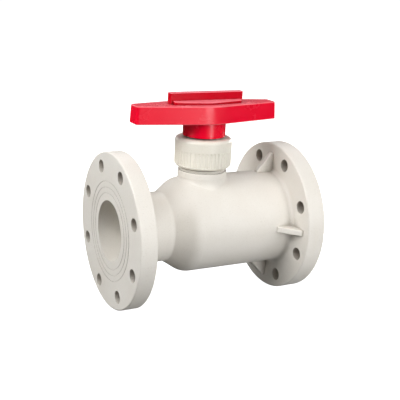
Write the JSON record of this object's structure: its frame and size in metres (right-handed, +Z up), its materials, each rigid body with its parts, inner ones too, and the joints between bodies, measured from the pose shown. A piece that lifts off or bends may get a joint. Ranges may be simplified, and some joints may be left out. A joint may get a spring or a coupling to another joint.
{
  "type": "flanged ball valve",
  "caption": "Flanged one-piece plastic ball valve with a fluted gland nut and a T-handle that turns a quarter turn to shut the pipe.",
  "frame": {"origin": "centre of the inlet flange's face, on the pipe axis", "axes": "+X along the flow, from the inlet flange to the outlet flange; +Z up along the stem, towards the handle; Y completes the right-handed frame"},
  "size_m": [0.28, 0.217, 0.2963],
  "materials": {
    "body_polypropylene": "satin moulded polypropylene, cream",
    "nut_polypropylene": "satin moulded polypropylene, cream, fluted",
    "ball_polypropylene": "turned and polished polypropylene, cream",
    "carrier_polypropylene": "satin moulded polypropylene, cream",
    "stem_polypropylene": "turned polypropylene, cream",
    "handle_red": "semi-gloss moulded ABS, red",
    "key_red": "semi-gloss moulded ABS, red",
    "ptfe": "turned PTFE, white",
    "seal_rubber": "EPDM, black",
    "stainless_steel": "stainless steel, machined"
  },
  "bodies": {
    "root": {"valve_body": "body_polypropylene", "seat_inlet": "ptfe", "seat_outlet": "ptfe", "seat_backing_ring_inlet": "seal_rubber", "seat_backing_ring_outlet": "seal_rubber", "seat_carrier": "carrier_polypropylene", "carrier_o_ring": "seal_rubber", "thrust_washer": "ptfe", "packing_base_ring": "ptfe", "packing_rings": "ptfe", "packing_follower": "ptfe", "gland_bush": "stem_polypropylene", "slip_washer": "ptfe", "gland_nut": "nut_polypropylene"},
    "handle_and_stem": {"handle": "handle_red", "handle_key": "key_red", "handle_screw": "stainless_steel", "handle_washer": "stainless_steel", "stem": "stem_polypropylene", "stem_insert": "stainless_steel", "stem_o_ring_lower": "seal_rubber", "stem_o_ring_upper": "seal_rubber"},
    "ball": {"ball": "ball_polypropylene"}
  },
  "joints": [
    {"name": "handle_turn", "type": "hinge", "parent": "root", "child": "handle_and_stem", "pos_m": [0.138, 0, 0.12], "axis": [0, 0, 1], "range_deg": [-90, 0]},
    {"name": "ball_turn", "type": "hinge", "parent": "root", "child": "ball", "pos_m": [0.138, 0, 0], "axis": [0, 0, 1], "range_deg": [-90, 0]}
  ],
  "couplings": [
    {"joint": "ball_turn", "follows": "handle_turn", "ratio": 1}
  ]
}
